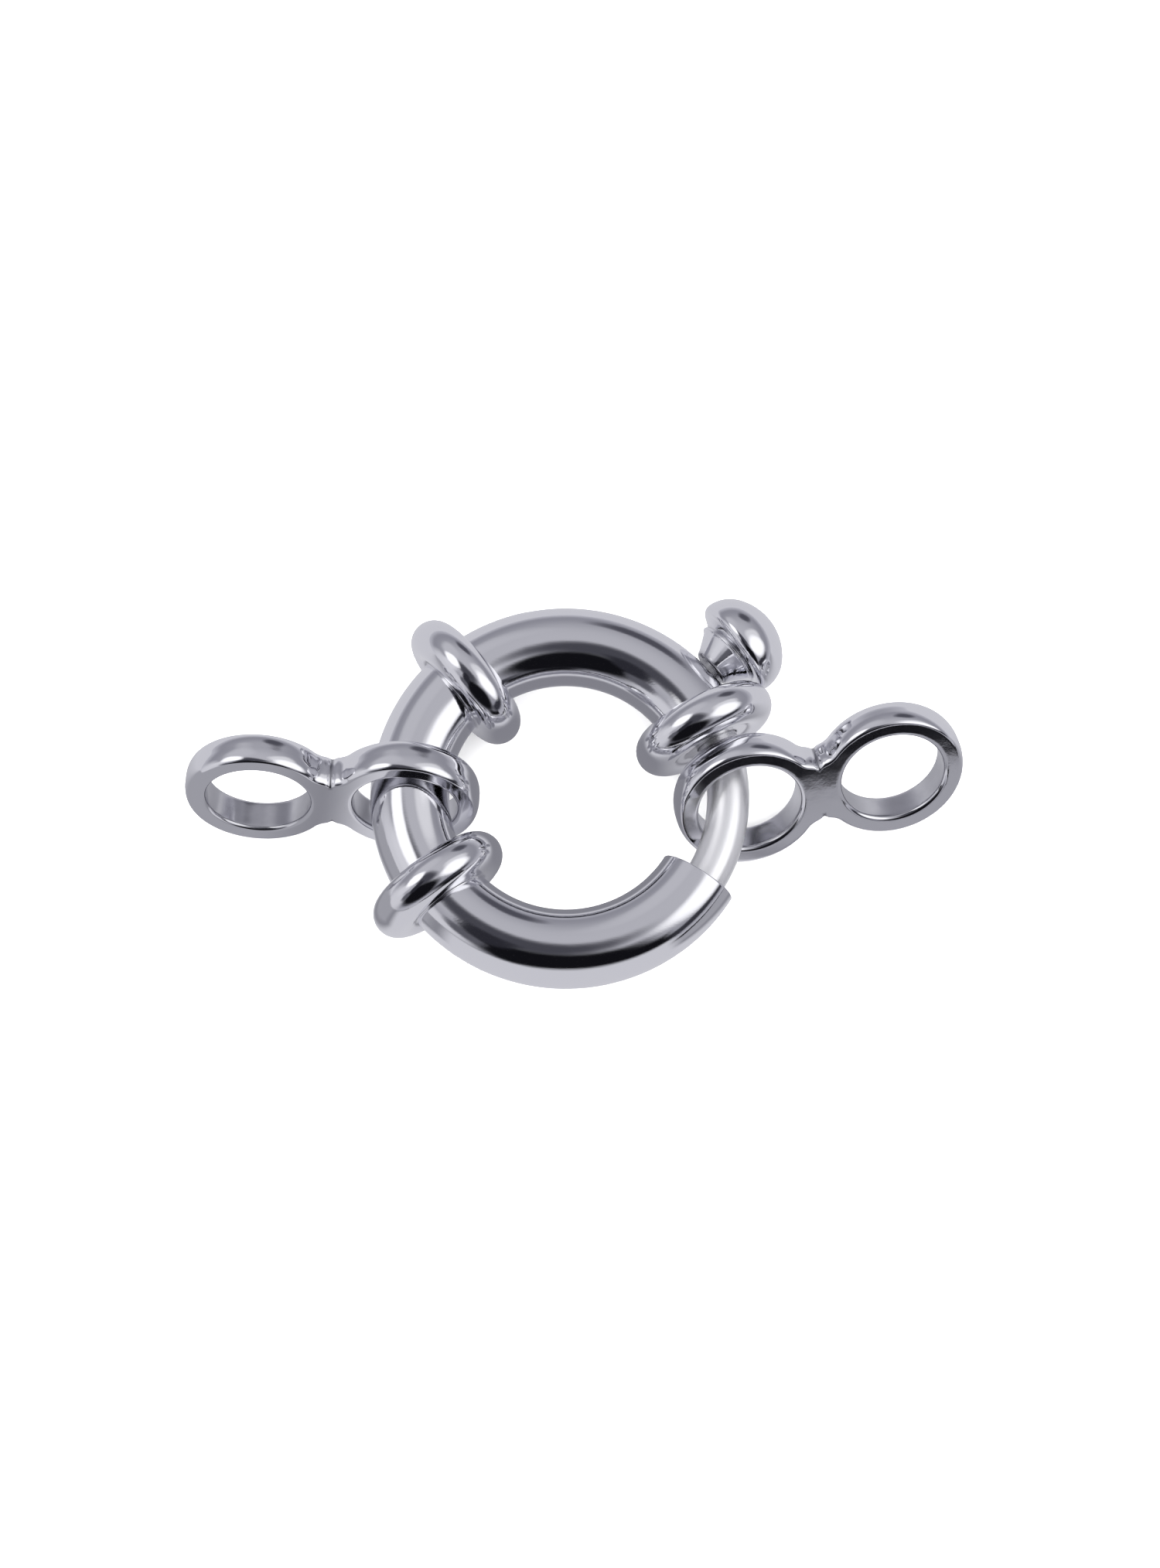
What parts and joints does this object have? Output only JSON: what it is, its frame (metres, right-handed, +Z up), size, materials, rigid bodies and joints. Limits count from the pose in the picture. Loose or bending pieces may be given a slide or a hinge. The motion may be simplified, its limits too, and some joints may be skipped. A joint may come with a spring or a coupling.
{
  "type": "bolt ring clasp",
  "caption": "Round-tube bolt ring clasp with bead collars, closed by a sprung sliding bolt with a thumb button, with a figure-8 end link on each side.",
  "frame": {"origin": "the ring's centre, on the surface that the clasp lies on", "axes": "+X towards the figure-8 end that hangs on the bolt, +Y across, towards the side of the thumb button, +Z up from the surface, along the ring's axis"},
  "size_m": [0.036, 0.0184, 0.0068],
  "materials": {
    "polished_silver": "mirror-polished white silver"
  },
  "bodies": {
    "clasp": {"case": "polished_silver", "left_end": "polished_silver", "right_end": "polished_silver"},
    "bolt": {"bolt": "polished_silver"}
  },
  "joints": [
    {"name": "bolt_slide", "type": "hinge", "parent": "clasp", "child": "bolt", "pos_m": [0, 0, 0.00341], "axis": [0, 0, 1], "range_deg": [0, 54.4], "stiffness_Nm_per_rad": 0.004, "springref_deg": -14.32}
  ]
}
